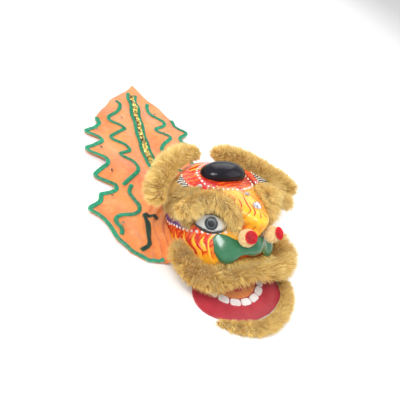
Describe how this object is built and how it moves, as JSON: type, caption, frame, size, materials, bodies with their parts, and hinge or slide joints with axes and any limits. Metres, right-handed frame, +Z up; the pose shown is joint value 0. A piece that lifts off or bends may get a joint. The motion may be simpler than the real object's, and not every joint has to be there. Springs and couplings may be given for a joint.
{
  "type": "lion dance head",
  "caption": "Child's lion dance head with a hollow shell, fur trims, a hinged lower jaw lying open and a scalloped cape with braid trim.",
  "frame": {"origin": "middle of the shell's bottom rim at the nape, on the surface that the head stands on", "axes": "the lion faces -Y, +X is its left side, +Z is up, and the cape is spread out towards +Y"},
  "size_m": [0.5119, 0.892, 0.1952],
  "materials": {
    "shell_paint": "glossy lacquer",
    "black_gloss": "glossy lacquer",
    "ear_black": "satin paint",
    "golden_fur": "deep fur",
    "eye_gloss": "glossy lacquer",
    "clear_stone": "clear and cut",
    "nose_green": "glossy lacquer",
    "pompom_cream": "fluffy",
    "pompom_red": "fluffy",
    "jaw_crimson": "satin",
    "palate_orange": "felt",
    "tongue_red": "felt",
    "tooth_white": "satin",
    "rod_steel": "plain",
    "cape_orange": "light satin weave",
    "braid_green": "woven braid",
    "sequin_gold": "metallic"
  },
  "bodies": {
    "head": {"head_shell": "shell_paint", "horn": "black_gloss", "ear_board_right": "ear_black", "ear_board_left": "ear_black", "ear_fur_right": "golden_fur", "ear_fur_left": "golden_fur", "brow_fur_right": "golden_fur", "brow_fur_left": "golden_fur", "eye_right": "eye_gloss", "eye_left": "eye_gloss", "nose_stone": "clear_stone", "forehead_stone": "clear_stone", "brow_stone_right": "clear_stone", "brow_stone_left": "clear_stone", "nose": "nose_green", "pompom_right": "pompom_cream", "pompom_left": "pompom_cream", "pompom_tip_right": "pompom_red", "pompom_tip_left": "pompom_red", "lip_fur": "golden_fur", "hinge_rod": "rod_steel", "cape": "cape_orange", "braid_edge_right": "braid_green", "braid_edge_left": "braid_green", "braid_inner_right": "braid_green", "braid_inner_left": "braid_green", "braid_side_right": "braid_green", "braid_side_left": "braid_green", "braid_seam_right": "braid_green", "braid_seam_left": "braid_green", "spine_braid_right": "braid_green", "spine_braid_left": "braid_green", "spine_strip": "sequin_gold"},
    "jaw": {"jaw_board": "jaw_crimson", "palate": "palate_orange", "tongue": "tongue_red", "tooth_1": "tooth_white", "tooth_2": "tooth_white", "tooth_3": "tooth_white", "tooth_4": "tooth_white", "tooth_5": "tooth_white", "tooth_6": "tooth_white", "tooth_7": "tooth_white", "tooth_8": "tooth_white", "tooth_9": "tooth_white", "beard_fur": "golden_fur"}
  },
  "joints": [
    {"name": "jaw_hinge", "type": "hinge", "parent": "head", "child": "jaw", "pos_m": [0, -0.2155, 0.007], "axis": [-1, 0, 0], "range_deg": [0, 28], "deforming": ["lip_fur"]}
  ]
}
